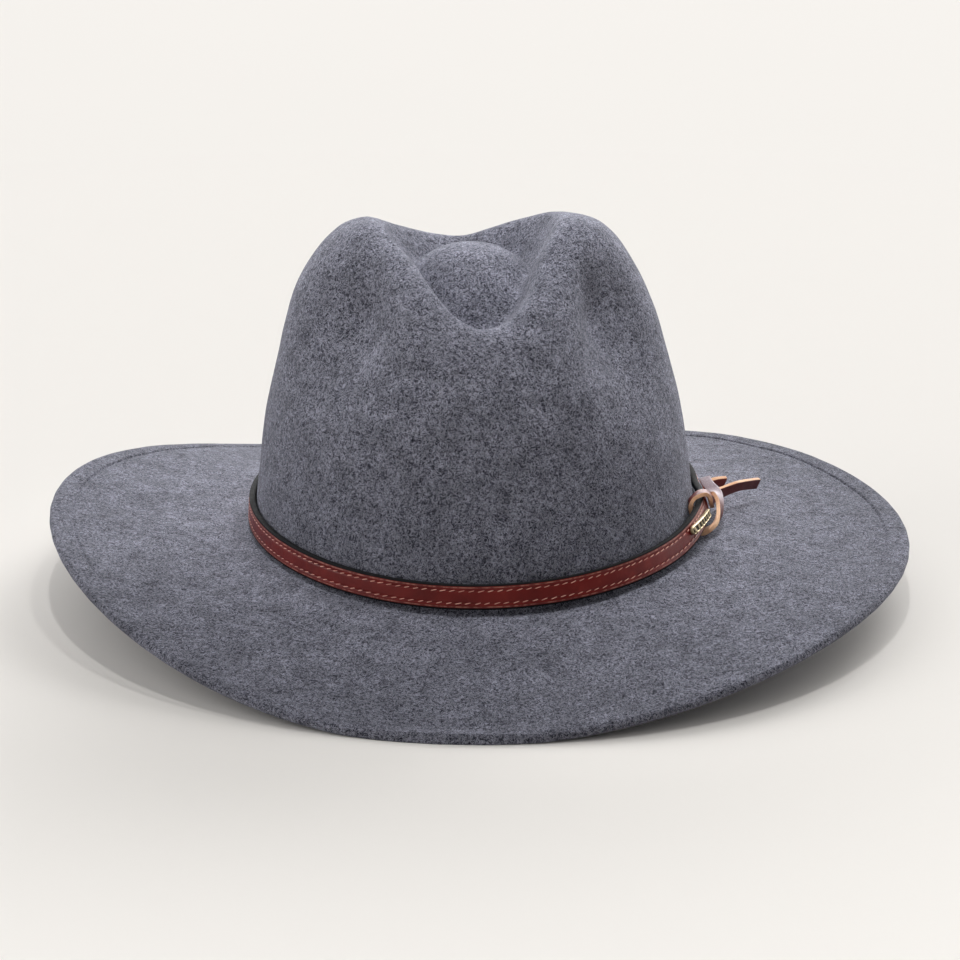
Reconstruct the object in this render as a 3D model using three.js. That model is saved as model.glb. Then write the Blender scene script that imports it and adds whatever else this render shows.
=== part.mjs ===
import * as THREE from 'three';

// A wide-brimmed felt hat with a pinched teardrop crown, a narrow stitched
// leather band, a leather lace tied round the band and a small brass bar.
// Millimetres. The hat rests on z = 0, its front is -y and +z is up.

// Driving sizes of the felt
const headWidth = 163.2;         // inside the crown at its base, side to side
const headLength = 199.6;        // inside the crown at its base, front to back
const feltThickness = 2.8;
const breakHeight = 22.9;        // where the brim leaves the crown, above the table
const breakLift = 1.8;           // the break is this much higher at the sides
const breakLean = 1.5;           // and this much higher on the +x side
const breakRadius = 2.0;         // of the felt where the crown turns into the brim
const crownRise = 116.6;         // from the break to the side ridges of the crown
const crownSway = -3.6;          // the top of the crown leans this far to -x
const ridgeHalfWidth = 36;       // plan of the ridge round the teardrop crease
const ridgeFront = 60;
const ridgeBack = 48;
const ridgeSetback = -2;         // centre of that plan along y
const pinchDepth = 11;
const brimSideWidth = 78.2;
const brimEndWidth = 74.5;       // at the front and at the back
const edgeRise = 28;             // height of the brim's upturned side edge
const brimDish = 1.6;            // how far the brim sags between break and edge
const brimCurl = 1.2;            // more than 1 keeps the rise towards the edge

// Driving sizes of the trim
const bandWidth = 9.0;
const bandThickness = 2.4;
const bandEdge = 0.4;            // cut off its two outer corners
const bandStandOff = 0.45;       // between the band and the felt
const bandRest = 1.25;           // from the brim up to the band's lower edge
const knotLift = 1.3;            // the band lies this much higher at the knot
const clearance = 0.3;           // between other pieces that touch
const laceWidth = 4.2;
const laceThickness = 1.6;
const laceCorner = 0.3;          // share of each half side that its corners take
const knotAngle = -12;           // degrees from +x, where the lace crosses the band
const tailLength = 38;           // of the long tail, along the band from the knot
const pinLength = 27;
const pinWidth = 3.2;
const pinThickness = 1.5;
const pinAngle = -24.7;          // degrees from +x, middle of the brass bar
const pinRibs = 7;
const pinNarrowing = 0.12;       // share of its width lost between two ribs
const pinGroove = 0.24;          // depth between two ribs
const pinSkew = 1.3;             // its front end sits this much higher than its middle

// Fineness of the faceted surfaces
const aroundSteps = 72;
const bandSteps = 96;
const laceStepLength = 1.7;

const radians = Math.PI / 180;
const wall = feltThickness / 2;

// Where the lace passes between the band and the crown, and where the tied
// lace presses the felt in. Reaches are in degrees to each side.
const lacePassage = laceThickness + 2 * clearance;
const behindAngle = knotAngle - 8;
const behindReach = 14;
const squeezeReach = 19;
const squeezeFade = 22;          // millimetres up the crown and out along the brim

// Side of the crown, from the break up to the ridge. rise is a share of the
// height, side and end are the share of the way from the ridge's plan out to
// the head's oval, and sway is a share of crownSway.
const CROWN_SIDE = [
  { rise: 0.983, side: 0.221, end: 0.115, sway: 0.80 },
  { rise: 0.947, side: 0.334, end: 0.205, sway: 0.75 },
  { rise: 0.892, side: 0.447, end: 0.310, sway: 0.75 },
  { rise: 0.800, side: 0.578, end: 0.440, sway: 0.75 },
  { rise: 0.660, side: 0.703, end: 0.590, sway: 0.60 },
  { rise: 0.500, side: 0.800, end: 0.710, sway: 0.50 },
  { rise: 0.340, side: 0.880, end: 0.825, sway: 0.45 },
  { rise: 0.190, side: 0.940, end: 0.915, sway: 0.36 },
  { rise: 0.090, side: 0.975, end: 0.965, sway: 0.20 },
];

// The ridge and the crease inside it, every 15 degrees from +x. crest and
// floor are shares of crownRise: the felt's height on the ridge and in the
// bottom of the crease.
const RIDGE = [
  { angle: 0, crest: 1.000, floor: 0.830 },
  { angle: 15, crest: 0.980, floor: 0.826 },
  { angle: 30, crest: 0.958, floor: 0.815 },
  { angle: 45, crest: 0.925, floor: 0.800 },
  { angle: 60, crest: 0.891, floor: 0.785 },
  { angle: 75, crest: 0.856, floor: 0.767 },
  { angle: 90, crest: 0.833, floor: 0.755 },
  { angle: 105, crest: 0.842, floor: 0.762 },
  { angle: 120, crest: 0.868, floor: 0.775 },
  { angle: 135, crest: 0.904, floor: 0.790 },
  { angle: 150, crest: 0.942, floor: 0.808 },
  { angle: 165, crest: 0.975, floor: 0.822 },
  { angle: 180, crest: 0.999, floor: 0.830 },
  { angle: 195, crest: 1.006, floor: 0.828 },
  { angle: 210, crest: 0.967, floor: 0.812 },
  { angle: 225, crest: 0.932, floor: 0.784 },
  { angle: 240, crest: 0.871, floor: 0.752 },
  { angle: 255, crest: 0.799, floor: 0.718 },
  { angle: 270, crest: 0.762, floor: 0.700 },
  { angle: 285, crest: 0.775, floor: 0.716 },
  { angle: 300, crest: 0.828, floor: 0.750 },
  { angle: 315, crest: 0.890, floor: 0.786 },
  { angle: 330, crest: 0.960, floor: 0.818 },
  { angle: 345, crest: 1.008, floor: 0.830 },
];

// Inside the ridge. reach is a share of the ridge's plan. sink goes from the
// crest, 0, to the crease's floor, 1. lift goes from the floor, 0, to the top
// of the island in the middle, 1.
const islandTop = 0.910;
const CREASE_WALL = [
  { reach: 0.64, sink: 1.00 },
  { reach: 0.75, sink: 0.80 },
  { reach: 0.86, sink: 0.36 },
];
const ISLAND = [
  { reach: 0.15, lift: 0.95 },
  { reach: 0.30, lift: 0.79 },
  { reach: 0.46, lift: 0.46 },
];

// The two dents at the front sides and the flatter left side, in degrees and
// shares of the height and of pinchDepth.
const PINCHES = [
  { angle: 219, spread: 16, rise: 0.79, reach: 0.18, depth: 1.15 },
  { angle: 325, spread: 15, rise: 0.79, reach: 0.18, depth: 1.35 },
  { angle: 2, spread: 38, rise: 0.80, reach: 1.10, depth: 0.13 },
];

// Height of the brim's edge, as waves round the hat in shares of edgeRise.
const edgeMean = 0.489;
const EDGE_WAVES = [
  { waves: 1, cosine: -0.089, sine: 0.020 },
  { waves: 2, cosine: 0.410, sine: -0.039 },
  { waves: 3, cosine: -0.115, sine: 0.020 },
  { waves: 4, cosine: -0.051, sine: -0.011 },
  { waves: 5, cosine: 0.013, sine: -0.005 },
];

// Places across the brim, as shares of its width.
const BRIM_PLACES = [0.06, 0.13, 0.24, 0.38, 0.52, 0.66, 0.79, 0.90, 0.96];

const mix = (a, b, share) => a + (b - a) * share;

// A smooth curve through evenly numbered values, at place between a and b.
function through(before, a, b, after, place) {
  const square = place * place;
  const cube = square * place;
  return 0.5 * (2 * a + (b - before) * place
    + (2 * before - 5 * a + 4 * b - after) * square
    + (3 * a - before - 3 * b + after) * cube);
}

// One column of the ridge table at any angle, in radians.
function ridgeValue(column, angle) {
  const count = RIDGE.length;
  const turns = angle / (2 * Math.PI);
  const place = (turns - Math.floor(turns)) * count;
  const row = Math.floor(place);
  const at = (index) => RIDGE[(index + count) % count][column];
  return through(at(row - 1), at(row), at(row + 1), at(row + 2), place - row);
}

// The head's oval at the middle of the felt, grown outward by grow.
function headOval(angle, grow) {
  const halfWidth = headWidth / 2 + wall;
  const halfLength = headLength / 2 + wall;
  const outward = new THREE.Vector2(Math.cos(angle) / halfWidth, Math.sin(angle) / halfLength);
  outward.normalize();
  return new THREE.Vector2(
    halfWidth * Math.cos(angle) + grow * outward.x,
    halfLength * Math.sin(angle) + grow * outward.y,
  );
}

function breakAt(angle) {
  return breakHeight + breakLift * Math.cos(2 * angle) + breakLean * Math.cos(angle);
}

function edgeAt(angle) {
  let share = edgeMean;
  for (const { waves, cosine, sine } of EDGE_WAVES) {
    share += cosine * Math.cos(waves * angle) + sine * Math.sin(waves * angle);
  }
  return share * edgeRise;
}

function ridgePlan(angle) {
  const half = Math.sin(angle) < 0 ? ridgeFront : ridgeBack;
  return new THREE.Vector2(
    ridgeHalfWidth * Math.cos(angle),
    ridgeSetback + half * Math.sin(angle),
  );
}

function pinchAt(angle, rise) {
  let depth = 0;
  for (const pinch of PINCHES) {
    const across = turnFrom(pinch.angle, angle) / pinch.spread;
    const along = (rise - pinch.rise) / pinch.reach;
    depth += pinch.depth * Math.exp(-across * across - along * along);
  }
  return depth * pinchDepth;
}

// Degrees from one place round the hat to another, between -180 and 180.
function turnFrom(degrees, angle) {
  return (angle / radians - degrees + 540) % 360 - 180;
}

// How far the tied lace presses the felt in, at a distance up the crown or out
// along the brim from where they meet.
function squeezeAt(angle, distance) {
  const turn = turnFrom(knotAngle, angle);
  return lacePassage * Math.exp(-((turn / squeezeReach) ** 4) - (distance / squeezeFade) ** 2);
}

// How far the band stands off the felt to let the lace pass behind it.
function passageAt(angle) {
  const turn = turnFrom(behindAngle, angle);
  return lacePassage * Math.exp(-((turn / behindReach) ** 4));
}

// A place on the crown's side. side and end are spreads, as in CROWN_SIDE.
function sidePoint(angle, { rise, side, end, sway }) {
  const endShare = Math.sin(angle) ** 2;
  const spread = mix(side, end, endShare);
  const plan = ridgePlan(angle).lerp(headOval(angle, 0), spread);
  const centre = new THREE.Vector2(0, ridgeSetback);
  const inward = centre.sub(plan).normalize();
  plan.addScaledVector(inward, pinchAt(angle, rise) + squeezeAt(angle, rise * crownRise));
  const bottom = breakAt(angle);
  const top = breakHeight + ridgeValue('crest', angle) * crownRise;
  return new THREE.Vector3(plan.x + crownSway * sway, plan.y, mix(bottom, top, rise));
}

function creasePoint(angle, reach, height) {
  const plan = ridgePlan(angle);
  plan.y -= ridgeSetback;
  plan.multiplyScalar(reach);
  const inward = pinchAt(angle, 1) * reach;
  const length = Math.max(plan.length(), 1);
  plan.multiplyScalar(1 - inward / length);
  return new THREE.Vector3(
    plan.x + crownSway,
    plan.y + ridgeSetback,
    breakHeight + height * crownRise,
  );
}

function brimWidthAt(angle) {
  return mix(brimSideWidth, brimEndWidth, Math.sin(angle) ** 2);
}

function brimPoint(angle, share) {
  const width = brimWidthAt(angle) - wall;
  const squeeze = squeezeAt(angle, share * width);
  const plan = headOval(angle, wall + (width - wall) * share - squeeze);
  const sag = brimDish * Math.sin(Math.PI * share);
  const height = mix(breakAt(angle) - wall, edgeAt(angle), share ** brimCurl) - sag;
  return new THREE.Vector3(plan.x, plan.y, height);
}

// Where the crown's side ends and the felt begins to turn into the brim.
function crownFoot(angle) {
  const plan = headOval(angle, -squeezeAt(angle, breakRadius));
  return new THREE.Vector3(plan.x, plan.y, breakAt(angle) + breakRadius);
}

// The middle of the felt along one line from the island's top to the edge.
function feltLine(angle) {
  const crest = ridgeValue('crest', angle);
  const floor = ridgeValue('floor', angle);
  const line = [new THREE.Vector3(crownSway, ridgeSetback, breakHeight + islandTop * crownRise)];
  for (const { reach, lift } of ISLAND) {
    line.push(creasePoint(angle, reach, mix(floor, islandTop, lift)));
  }
  for (const { reach, sink } of CREASE_WALL) {
    line.push(creasePoint(angle, reach, mix(crest, floor, sink)));
  }
  line.push(creasePoint(angle, 1, crest));
  for (const row of CROWN_SIDE) {
    line.push(sidePoint(angle, row));
  }
  line.push(crownFoot(angle));
  const turn = (breakRadius + wall) * (1 - Math.SQRT1_2);
  const corner = headOval(angle, turn - squeezeAt(angle, breakRadius));
  line.push(new THREE.Vector3(corner.x, corner.y, breakAt(angle) - wall + turn));
  for (const share of BRIM_PLACES) {
    line.push(brimPoint(angle, share));
  }
  line.push(brimPoint(angle, 1));
  return line;
}

// A closed mesh from vertices and triangles.
function solid(name, vertices, triangles, colour, roughness, metalness) {
  const geometry = new THREE.BufferGeometry();
  const places = vertices.flatMap((vertex) => vertex.toArray());
  geometry.setAttribute('position', new THREE.Float32BufferAttribute(places, 3));
  geometry.setIndex(triangles.flat());
  geometry.computeVertexNormals();
  const material = new THREE.MeshStandardMaterial({ color: colour, roughness, metalness });
  const mesh = new THREE.Mesh(geometry, material);
  mesh.name = name;
  return mesh;
}

// The felt: one sheet, thickened to both sides, closed by a rounded edge.
function makeFelt() {
  const lines = [];
  for (let step = 0; step < aroundSteps; step += 1) {
    lines.push(feltLine(step / aroundSteps * 2 * Math.PI));
  }
  const last = lines[0].length - 1;
  const up = new THREE.Vector3(0, 0, 1);
  const normalAt = (step, place) => {
    if (place === 0) return up.clone();
    const ahead = lines[(step + 1) % aroundSteps][place];
    const behind = lines[(step + aroundSteps - 1) % aroundSteps][place];
    const outer = lines[step][Math.min(place + 1, last)];
    const inner = lines[step][place - 1];
    const along = ahead.clone().sub(behind);
    const outward = outer.clone().sub(inner);
    return outward.cross(along).normalize();
  };
  const vertices = [];
  const rows = [];
  const settle = (point) => {
    point.z = Math.max(point.z, 0);
    return point;
  };
  // Rows of vertices from the outside of the island to its inside.
  for (let place = 1; place <= last; place += 1) rows.push({ place, side: 1 });
  rows.push({ place: last, side: 0.5 }, { place: last, side: 0 }, { place: last, side: -0.5 });
  for (let place = last; place >= 1; place -= 1) rows.push({ place, side: -1 });
  const islandOutside = 0;
  vertices.push(lines[0][0].clone().addScaledVector(up, wall));
  for (const { place, side } of rows) {
    for (let step = 0; step < aroundSteps; step += 1) {
      const normal = normalAt(step, place);
      const point = lines[step][place].clone();
      if (Math.abs(side) < 1) {
        const out = lines[step][last].clone().sub(lines[step][last - 1]).normalize();
        const tilt = side * Math.PI / 2;
        point.addScaledVector(normal, wall * Math.sin(tilt));
        point.addScaledVector(out, wall * Math.cos(tilt));
      } else {
        point.addScaledVector(normal, wall * side);
      }
      if (side === 1) {
        const under = lines[step][place].clone().addScaledVector(normal, -wall);
        point.z += Math.max(-under.z, 0);
      }
      vertices.push(settle(point));
    }
  }
  const islandInside = vertices.length;
  vertices.push(lines[0][0].clone().addScaledVector(up, -wall));
  const at = (row, step) => 1 + row * aroundSteps + (step + aroundSteps) % aroundSteps;
  const triangles = [];
  const lastRow = rows.length - 1;
  for (let step = 0; step < aroundSteps; step += 1) {
    triangles.push([islandOutside, at(0, step), at(0, step + 1)]);
    for (let row = 0; row < lastRow; row += 1) {
      triangles.push([at(row, step), at(row + 1, step), at(row + 1, step + 1)]);
      triangles.push([at(row, step), at(row + 1, step + 1), at(row, step + 1)]);
    }
    triangles.push([at(lastRow, step), islandInside, at(lastRow, step + 1)]);
  }
  return solid('felt_body', vertices, triangles, 0x6a6d7c, 0.95, 0);
}

// The band's own frame, from the crown's side behind it.
function bandFrame(angleDegrees) {
  const angle = angleDegrees * radians;
  const foot = crownFoot(angle);
  const above = sidePoint(angle, CROWN_SIDE[CROWN_SIDE.length - 1]);
  const up = above.clone().sub(foot).normalize();
  const around = crownFoot(angle + radians).sub(crownFoot(angle - radians));
  const face = around.cross(up).normalize();
  const passage = passageAt(angle);
  const lift = bandRest - breakRadius + knotLift * passage / lacePassage;
  const centre = foot.clone().addScaledVector(up, lift + bandWidth / 2);
  centre.addScaledVector(face, wall + bandStandOff + passage + bandThickness / 2);
  return { centre, face, up };
}

function makeBand() {
  const halfThick = bandThickness / 2;
  const halfWide = bandWidth / 2;
  const section = [
    [halfThick, -halfWide + bandEdge], [halfThick, halfWide - bandEdge],
    [halfThick - bandEdge, halfWide], [-halfThick, halfWide],
    [-halfThick, -halfWide], [halfThick - bandEdge, -halfWide],
  ];
  const vertices = [];
  for (let step = 0; step < bandSteps; step += 1) {
    const { centre, face, up } = bandFrame(step / bandSteps * 360);
    for (const [out, rise] of section) {
      vertices.push(centre.clone().addScaledVector(face, out).addScaledVector(up, rise));
    }
  }
  const count = section.length;
  const at = (step, corner) => (step % bandSteps) * count + (corner + count) % count;
  const triangles = [];
  for (let step = 0; step < bandSteps; step += 1) {
    for (let corner = 0; corner < count; corner += 1) {
      triangles.push([at(step, corner), at(step + 1, corner), at(step + 1, corner + 1)]);
      triangles.push([at(step, corner), at(step + 1, corner + 1), at(step, corner + 1)]);
    }
  }
  return solid('hatband', vertices, triangles, 0x5e2622, 0.45, 0);
}

// A strip with a flat section swept along stations that each hold a point, the
// direction its face looks in, and its half width and half thickness.
function sweep(name, stations, colour, roughness, metalness) {
  const vertices = [];
  const near = 1 - laceCorner;
  const shape = [
    [1, -near], [1, near], [near, 1], [-near, 1],
    [-1, near], [-1, -near], [-near, -1], [near, -1],
  ];
  stations.forEach(({ point, face, halfWidth, halfThickness }, index) => {
    const ahead = stations[Math.min(index + 1, stations.length - 1)].point;
    const behind = stations[Math.max(index - 1, 0)].point;
    const along = ahead.clone().sub(behind).normalize();
    const normal = face.clone().addScaledVector(along, -face.dot(along)).normalize();
    const across = along.clone().cross(normal).normalize();
    for (const [thick, wide] of shape) {
      vertices.push(point.clone()
        .addScaledVector(normal, thick * halfThickness)
        .addScaledVector(across, wide * halfWidth));
    }
  });
  const count = shape.length;
  const at = (station, place) => station * count + (place + count) % count;
  const triangles = [];
  for (let station = 0; station < stations.length - 1; station += 1) {
    for (let place = 0; place < count; place += 1) {
      triangles.push([at(station, place), at(station + 1, place + 1), at(station + 1, place)]);
      triangles.push([at(station, place), at(station, place + 1), at(station + 1, place + 1)]);
    }
  }
  const end = stations.length - 1;
  for (let place = 1; place < count - 1; place += 1) {
    triangles.push([at(0, 0), at(0, place + 1), at(0, place)]);
    triangles.push([at(end, 0), at(end, place), at(end, place + 1)]);
  }
  return solid(name, vertices, triangles, colour, roughness, metalness);
}

// Millimetres along the band near the knot, as degrees round the hat.
const degreesAlong = (length) => length / (headLength / 2 + wall) / radians;

function bandPlace(along, out, rise) {
  const { centre, face, up } = bandFrame(knotAngle + degreesAlong(along));
  return centre.clone().addScaledVector(face, out).addScaledVector(up, rise);
}

function bandDirection(along, alongShare, outShare, upShare) {
  const { face, up } = bandFrame(knotAngle + degreesAlong(along));
  const forward = up.clone().cross(face).multiplyScalar(alongShare);
  return forward.addScaledVector(face, outShare).addScaledVector(up, upShare);
}

// The lace's route. along is a share of tailLength, layer counts laces out
// from the band's middle (1 lies on the band, 2 lies on another lace), and
// rise is a share of the band's half width. The face columns say where its
// finished side looks: along the band, outward and up.
const LACE = [
  { along: 0.500, layer: 1.78, rise: 0.93, faceAlong: -1, faceOut: 0.15, faceUp: 0.2 },
  { along: 0.450, layer: 1.85, rise: 0.71, faceAlong: -1, faceOut: 0.15, faceUp: 0.2 },
  { along: 0.380, layer: 2.12, rise: 0.47, faceAlong: -1, faceOut: 0.2, faceUp: 0.2 },
  { along: 0.300, layer: 2.55, rise: 0.20, faceAlong: -1, faceOut: 0.3, faceUp: 0.2 },
  { along: 0.200, layer: 2.90, rise: -0.09, faceAlong: -0.9, faceOut: 0.5, faceUp: 0.1 },
  { along: 0.070, layer: 2.78, rise: -0.55, faceAlong: -0.6, faceOut: 0.85, faceUp: 0 },
  { along: -0.050, layer: 2.45, rise: -0.92, faceAlong: -0.25, faceOut: 1, faceUp: -0.15 },
  { along: -0.160, layer: 1.95, rise: -1.18, faceAlong: 0, faceOut: 0.85, faceUp: -0.5 },
  { along: -0.260, layer: 1.30, rise: -1.40, faceAlong: 0, faceOut: 0.45, faceUp: -0.9 },
  { along: -0.340, layer: 0.30, rise: -1.46, faceAlong: 0, faceOut: 0, faceUp: -1 },
  { along: -0.385, layer: -0.55, rise: -1.38, faceAlong: 0, faceOut: -0.55, faceUp: -0.85 },
  { along: -0.400, layer: -1.15, rise: -0.98, faceAlong: 0, faceOut: -1, faceUp: -0.2 },
  { along: -0.400, layer: -1.12, rise: 0.00, faceAlong: 0, faceOut: -1, faceUp: 0 },
  { along: -0.400, layer: -1.12, rise: 0.88, faceAlong: -0.05, faceOut: -1, faceUp: 0 },
  { along: -0.375, layer: -0.80, rise: 1.36, faceAlong: -0.4, faceOut: -0.8, faceUp: 0.5 },
  { along: -0.320, layer: -0.05, rise: 1.50, faceAlong: 0.05, faceOut: -0.1, faceUp: 1 },
  { along: -0.240, layer: 0.68, rise: 1.43, faceAlong: 0.2, faceOut: 0.4, faceUp: 0.9 },
  { along: -0.130, layer: 1.22, rise: 0.96, faceAlong: 0.1, faceOut: 0.9, faceUp: 0.5 },
  { along: -0.010, layer: 1.22, rise: 0.30, faceAlong: 0, faceOut: 1, faceUp: 0.1 },
  { along: 0.100, layer: 1.25, rise: -0.30, faceAlong: 0, faceOut: 1, faceUp: 0 },
  { along: 0.210, layer: 1.25, rise: -0.56, faceAlong: 0, faceOut: 1, faceUp: 0 },
  { along: 0.340, layer: 1.75, rise: -0.58, faceAlong: -0.3, faceOut: 1, faceUp: -0.15 },
  { along: 0.480, layer: 3.90, rise: -0.64, faceAlong: -0.6, faceOut: 0.7, faceUp: -0.35 },
  { along: 0.660, layer: 7.80, rise: -1.02, faceAlong: -0.8, faceOut: 0.4, faceUp: -0.45 },
  { along: 0.870, layer: 11.6, rise: -2.05, faceAlong: -0.8, faceOut: 0.4, faceUp: -0.45 },
];

// The short tail starts on the band's face and points outward.
const SHORT_TAIL = [
  { along: 0.660, layer: 1.08, rise: 0.00, faceAlong: -0.1, faceOut: 1, faceUp: -0.1 },
  { along: 0.680, layer: 2.10, rise: -0.09, faceAlong: -0.4, faceOut: 0.6, faceUp: -0.6 },
  { along: 0.720, layer: 3.60, rise: -0.26, faceAlong: -0.7, faceOut: 0.3, faceUp: -0.6 },
  { along: 0.770, layer: 5.40, rise: -0.60, faceAlong: -0.75, faceOut: 0.35, faceUp: -0.55 },
];

// Distance of a layer's middle from the band's middle.
function layerOut(layer) {
  const first = bandThickness / 2 + clearance + laceThickness / 2;
  const pitch = laceThickness + clearance;
  const size = Math.abs(layer);
  const distance = size < 1 ? size * first : first + (size - 1) * pitch;
  return Math.sign(layer) * distance;
}

function laceStations(route) {
  const knots = route.map((row) => ({
    point: bandPlace(row.along * tailLength, layerOut(row.layer), row.rise * bandWidth / 2),
    face: bandDirection(row.along * tailLength, row.faceAlong, row.faceOut, row.faceUp).normalize(),
  }));
  const stations = [];
  const blend = (key, index, place) => {
    const [before, a, b, after] = [index - 1, index, index + 1, index + 2]
      .map((k) => knots[Math.min(Math.max(k, 0), knots.length - 1)][key]);
    return new THREE.Vector3(
      through(before.x, a.x, b.x, after.x, place),
      through(before.y, a.y, b.y, after.y, place),
      through(before.z, a.z, b.z, after.z, place),
    );
  };
  for (let index = 0; index < knots.length - 1; index += 1) {
    const span = knots[index].point.distanceTo(knots[index + 1].point);
    const pieces = Math.max(Math.round(span / laceStepLength), 1);
    for (let piece = 0; piece < pieces; piece += 1) {
      const place = piece / pieces;
      stations.push({ point: blend('point', index, place), face: blend('face', index, place) });
    }
  }
  stations.push(knots[knots.length - 1]);
  return stations.map((station) => ({
    ...station,
    halfWidth: laceWidth / 2,
    halfThickness: laceThickness / 2,
  }));
}

// The brass bar lies along the band's face, with plain cross ribs.
function makePin() {
  const stations = [];
  const stepsPerRib = 4;
  const steps = pinRibs * stepsPerRib;
  const seat = bandThickness / 2 + clearance + pinThickness / 2;
  const middle = (pinAngle - knotAngle) / degreesAlong(1);
  for (let step = 0; step <= steps; step += 1) {
    const share = step / steps;
    const rib = 0.5 - 0.5 * Math.cos(share * pinRibs * 2 * Math.PI);
    const along = middle + (share - 0.5) * pinLength;
    const groove = pinGroove * (1 - rib);
    stations.push({
      point: bandPlace(along, seat - groove / 2, pinSkew * (1 - 2 * share)),
      face: bandDirection(along, 0, 1, 0),
      halfWidth: pinWidth / 2 * (1 - pinNarrowing * (1 - rib)),
      halfThickness: (pinThickness - groove) / 2,
    });
  }
  return sweep('brass_pin', stations, 0xa8894e, 0.35, 1);
}

const group = new THREE.Group();
group.add(makeFelt());
group.add(makeBand());
group.add(sweep('tie_lace', laceStations(LACE), 0x6b2f28, 0.5, 0));
group.add(sweep('tie_short_tail', laceStations(SHORT_TAIL), 0x6b2f28, 0.5, 0));
group.add(makePin());

export default group;
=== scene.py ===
import math

import bpy
import numpy as np
from mathutils import Matrix, Vector, noise


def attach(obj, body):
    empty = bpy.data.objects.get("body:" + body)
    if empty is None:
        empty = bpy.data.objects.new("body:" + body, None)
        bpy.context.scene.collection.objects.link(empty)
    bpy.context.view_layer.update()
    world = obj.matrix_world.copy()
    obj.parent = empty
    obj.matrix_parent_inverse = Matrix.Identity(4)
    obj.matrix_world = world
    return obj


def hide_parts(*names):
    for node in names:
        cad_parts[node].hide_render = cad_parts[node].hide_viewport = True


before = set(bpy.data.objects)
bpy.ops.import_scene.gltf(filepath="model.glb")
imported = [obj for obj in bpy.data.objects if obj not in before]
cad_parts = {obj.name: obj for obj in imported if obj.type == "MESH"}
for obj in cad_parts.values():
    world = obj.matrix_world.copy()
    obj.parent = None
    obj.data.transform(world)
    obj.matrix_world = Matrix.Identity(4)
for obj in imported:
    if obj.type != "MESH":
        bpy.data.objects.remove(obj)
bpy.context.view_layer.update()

# The CAD model's own sizes, in millimetres and degrees, so that each piece lies where its solid is.
HEAD_WIDTH = 163.2
HEAD_LENGTH = 199.6
FELT_THICKNESS = 2.8
BREAK_HEIGHT = 22.9
BREAK_LIFT = 1.8
BREAK_LEAN = 1.5
BREAK_RADIUS = 2.0
CROWN_RISE = 116.6
CROWN_SWAY = -3.6
RIDGE_HALF_WIDTH = 36
RIDGE_FRONT = 60
RIDGE_BACK = 48
RIDGE_SETBACK = -2
PINCH_DEPTH = 11
BRIM_SIDE_WIDTH = 78.2
BRIM_END_WIDTH = 74.5
EDGE_RISE = 28
BRIM_DISH = 1.6
BRIM_CURL = 1.2
BAND_WIDTH = 9.0
BAND_THICKNESS = 2.4
BAND_STAND_OFF = 0.45
BAND_REST = 1.25
KNOT_LIFT = 1.3
CLEARANCE = 0.3
LACE_WIDTH = 4.2
LACE_THICKNESS = 1.6
KNOT_ANGLE = -12
TAIL_LENGTH = 38
PIN_LENGTH = 27
PIN_WIDTH = 3.2
PIN_THICKNESS = 1.5
PIN_ANGLE = -24.7
PIN_RIBS = 7
PIN_SKEW = 1.3
RIB_SLANT = 0.22
BEHIND_ANGLE = KNOT_ANGLE - 8
BEHIND_REACH = 14
LACE_PASSAGE = LACE_THICKNESS + 2 * CLEARANCE
SQUEEZE_REACH = 19
SQUEEZE_FADE = 22
ISLAND_TOP = 0.910
EDGE_MEAN = 0.489
WALL = FELT_THICKNESS / 2
APEX = np.array([CROWN_SWAY, RIDGE_SETBACK, BREAK_HEIGHT + ISLAND_TOP * CROWN_RISE])
MM = 0.001

# the crown's sides: share of the height, shares of the way from the ridge's plan to the head's
# oval at the sides and at the ends, and share of the sway
CROWN_SIDE = [
    (0.983, 0.221, 0.115, 0.80),
    (0.947, 0.334, 0.205, 0.75),
    (0.892, 0.447, 0.310, 0.75),
    (0.800, 0.578, 0.440, 0.75),
    (0.660, 0.703, 0.590, 0.60),
    (0.500, 0.800, 0.710, 0.50),
    (0.340, 0.880, 0.825, 0.45),
    (0.190, 0.940, 0.915, 0.36),
    (0.090, 0.975, 0.965, 0.20),
]
# the ridge's and the crease floor's shares of the crown's rise, every 15 degrees
CREST = [
    1.000, 0.980, 0.958, 0.925, 0.891, 0.856, 0.833, 0.842,
    0.868, 0.904, 0.942, 0.975, 0.999, 1.006, 0.967, 0.932,
    0.871, 0.799, 0.762, 0.775, 0.828, 0.890, 0.960, 1.008,
]
FLOOR = [
    0.830, 0.826, 0.815, 0.800, 0.785, 0.767, 0.755, 0.762,
    0.775, 0.790, 0.808, 0.822, 0.830, 0.828, 0.812, 0.784,
    0.752, 0.718, 0.700, 0.716, 0.750, 0.786, 0.818, 0.830,
]
# the raised island: share of the ridge's plan, and of the way up from the crease's floor
ISLAND = [(0.15, 0.95), (0.30, 0.79), (0.46, 0.46)]
# the crease's wall: share of the ridge's plan, and of the way down from the ridge
CREASE_WALL = [(0.64, 1.00), (0.75, 0.80), (0.86, 0.36)]
# the pinches: angle and spread in degrees, share of the height, how far up and down, depth
PINCHES = [
    (219, 16, 0.79, 0.18, 1.15),
    (325, 15, 0.79, 0.18, 1.35),
    (2, 38, 0.80, 1.10, 0.13),
]
# the brim edge's waves round the hat, as shares of its rise: waves, cosine, sine
EDGE_WAVES = [
    (1, -0.089, 0.020),
    (2, 0.410, -0.039),
    (3, -0.115, 0.020),
    (4, -0.051, -0.011),
    (5, 0.013, -0.005),
]
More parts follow.
